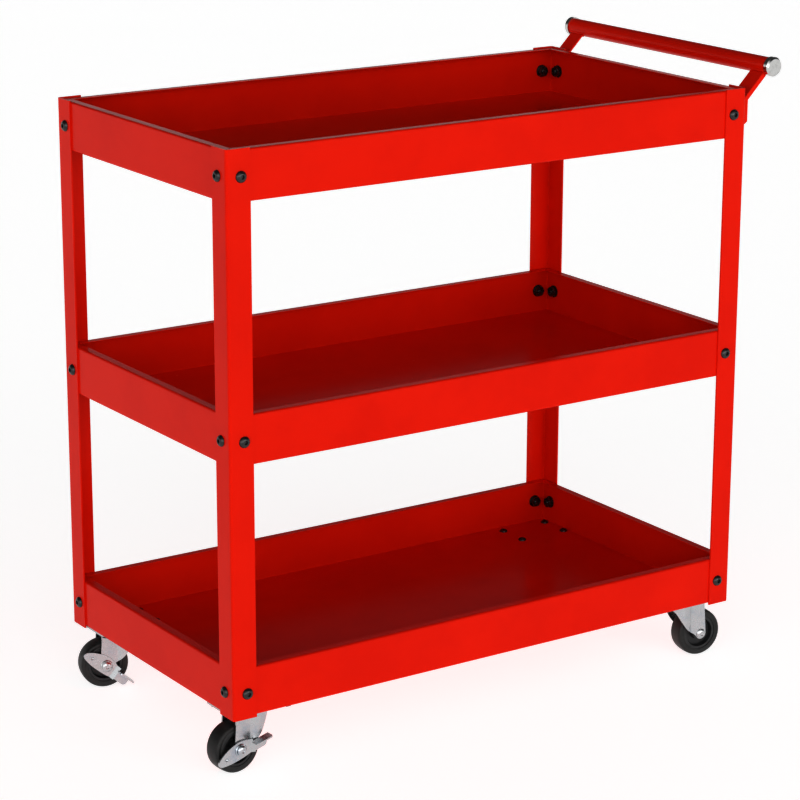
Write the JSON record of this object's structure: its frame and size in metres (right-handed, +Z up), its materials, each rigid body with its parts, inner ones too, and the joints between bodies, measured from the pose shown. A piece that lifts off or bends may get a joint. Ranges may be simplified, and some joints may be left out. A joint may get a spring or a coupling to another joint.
{
  "type": "rolling service cart",
  "caption": "Open service cart with shallow trays between angle posts, a tube push handle at one end and swivel casters, some of them with side brakes.",
  "frame": {"origin": "on the floor, midway between the four posts", "axes": "+Z up, +X towards the handle end, +Y across the cart"},
  "size_m": [0.8238, 0.4268, 0.8055],
  "materials": {
    "red_paint": "gloss",
    "black_steel": "satin",
    "zinc_steel": "satin",
    "bearing_steel": "polished",
    "polished_metal": "polished",
    "black_rubber": "satin",
    "black_plastic": "matte"
  },
  "bodies": {
    "frame": {"tray_bottom": "red_paint", "tray_middle": "red_paint", "tray_top": "red_paint", "post_front_left": "red_paint", "post_front_right": "red_paint", "post_rear_left": "red_paint", "post_rear_right": "red_paint", "frame_bolts_bottom": "black_steel", "frame_nuts_bottom": "black_steel", "frame_bolts_middle": "black_steel", "frame_nuts_middle": "black_steel", "frame_bolts_top": "black_steel", "frame_nuts_top": "black_steel", "handle_bracket_left": "red_paint", "handle_bracket_right": "red_paint", "handle_tube": "red_paint", "handle_plug_left": "polished_metal", "handle_plug_right": "polished_metal", "caster_bolts": "black_steel", "caster_nuts": "black_steel", "caster_plate_front_left": "zinc_steel", "caster_balls_front_left": "bearing_steel", "kingpin_front_left": "zinc_steel", "caster_plate_front_right": "zinc_steel", "caster_balls_front_right": "bearing_steel", "kingpin_front_right": "zinc_steel", "caster_plate_rear_left": "zinc_steel", "caster_balls_rear_left": "bearing_steel", "kingpin_rear_left": "zinc_steel", "caster_plate_rear_right": "zinc_steel", "caster_balls_rear_right": "bearing_steel", "kingpin_rear_right": "zinc_steel"},
    "swivel_front_left": {"caster_fork_front_left": "zinc_steel", "wheel_bush_front_left": "zinc_steel", "wheel_axle_front_left": "zinc_steel", "axle_nut_front_left": "zinc_steel"},
    "wheel_front_left": {"wheel_tyre_front_left": "black_rubber", "wheel_hub_front_left": "black_plastic"},
    "brake_front_left": {"brake_lever_front_left": "zinc_steel"},
    "swivel_front_right": {"caster_fork_front_right": "zinc_steel", "wheel_bush_front_right": "zinc_steel", "wheel_axle_front_right": "zinc_steel", "axle_nut_front_right": "zinc_steel"},
    "wheel_front_right": {"wheel_tyre_front_right": "black_rubber", "wheel_hub_front_right": "black_plastic"},
    "brake_front_right": {"brake_lever_front_right": "zinc_steel"},
    "swivel_rear_left": {"caster_fork_rear_left": "zinc_steel", "wheel_bush_rear_left": "zinc_steel", "wheel_axle_rear_left": "zinc_steel", "axle_nut_rear_left": "zinc_steel"},
    "wheel_rear_left": {"wheel_tyre_rear_left": "black_rubber", "wheel_hub_rear_left": "black_plastic"},
    "swivel_rear_right": {"caster_fork_rear_right": "zinc_steel", "wheel_bush_rear_right": "zinc_steel", "wheel_axle_rear_right": "zinc_steel", "axle_nut_rear_right": "zinc_steel"},
    "wheel_rear_right": {"wheel_tyre_rear_right": "black_rubber", "wheel_hub_rear_right": "black_plastic"}
  },
  "joints": [
    {"name": "swivel_front_left_turn", "type": "hinge", "parent": "frame", "child": "swivel_front_left", "pos_m": [-0.3315, -0.162, 0.083], "axis": [0, 0, 1], "continuous": true},
    {"name": "wheel_front_left_spin", "type": "hinge", "parent": "swivel_front_left", "child": "wheel_front_left", "pos_m": [-0.35923, -0.16394, 0.03175], "axis": [0.0698, -0.9976, 0], "continuous": true},
    {"name": "brake_front_left_press", "type": "hinge", "parent": "swivel_front_left", "child": "brake_front_left", "pos_m": [-0.35923, -0.16394, 0.03175], "axis": [-0.0698, 0.9976, 0], "range_deg": [0, 55]},
    {"name": "swivel_front_right_turn", "type": "hinge", "parent": "frame", "child": "swivel_front_right", "pos_m": [-0.3315, 0.162, 0.083], "axis": [0, 0, 1], "continuous": true},
    {"name": "wheel_front_right_spin", "type": "hinge", "parent": "swivel_front_right", "child": "wheel_front_right", "pos_m": [-0.35859, 0.16825, 0.03175], "axis": [-0.225, -0.9744, 0], "continuous": true},
    {"name": "brake_front_right_press", "type": "hinge", "parent": "swivel_front_right", "child": "brake_front_right", "pos_m": [-0.35859, 0.16825, 0.03175], "axis": [0.225, 0.9744, 0], "range_deg": [-55, 0]},
    {"name": "swivel_rear_left_turn", "type": "hinge", "parent": "frame", "child": "swivel_rear_left", "pos_m": [0.3315, -0.162, 0.083], "axis": [0, 0, 1], "continuous": true},
    {"name": "wheel_rear_left_spin", "type": "hinge", "parent": "swivel_rear_left", "child": "wheel_rear_left", "pos_m": [0.35903, -0.16587, 0.03175], "axis": [0.1392, 0.9903, 0], "continuous": true},
    {"name": "swivel_rear_right_turn", "type": "hinge", "parent": "frame", "child": "swivel_rear_right", "pos_m": [0.3315, 0.162, 0.083], "axis": [0, 0, 1], "continuous": true},
    {"name": "wheel_rear_right_spin", "type": "hinge", "parent": "swivel_rear_right", "child": "wheel_rear_right", "pos_m": [0.35869, 0.16778, 0.03175], "axis": [-0.2079, 0.9781, 0], "continuous": true}
  ]
}
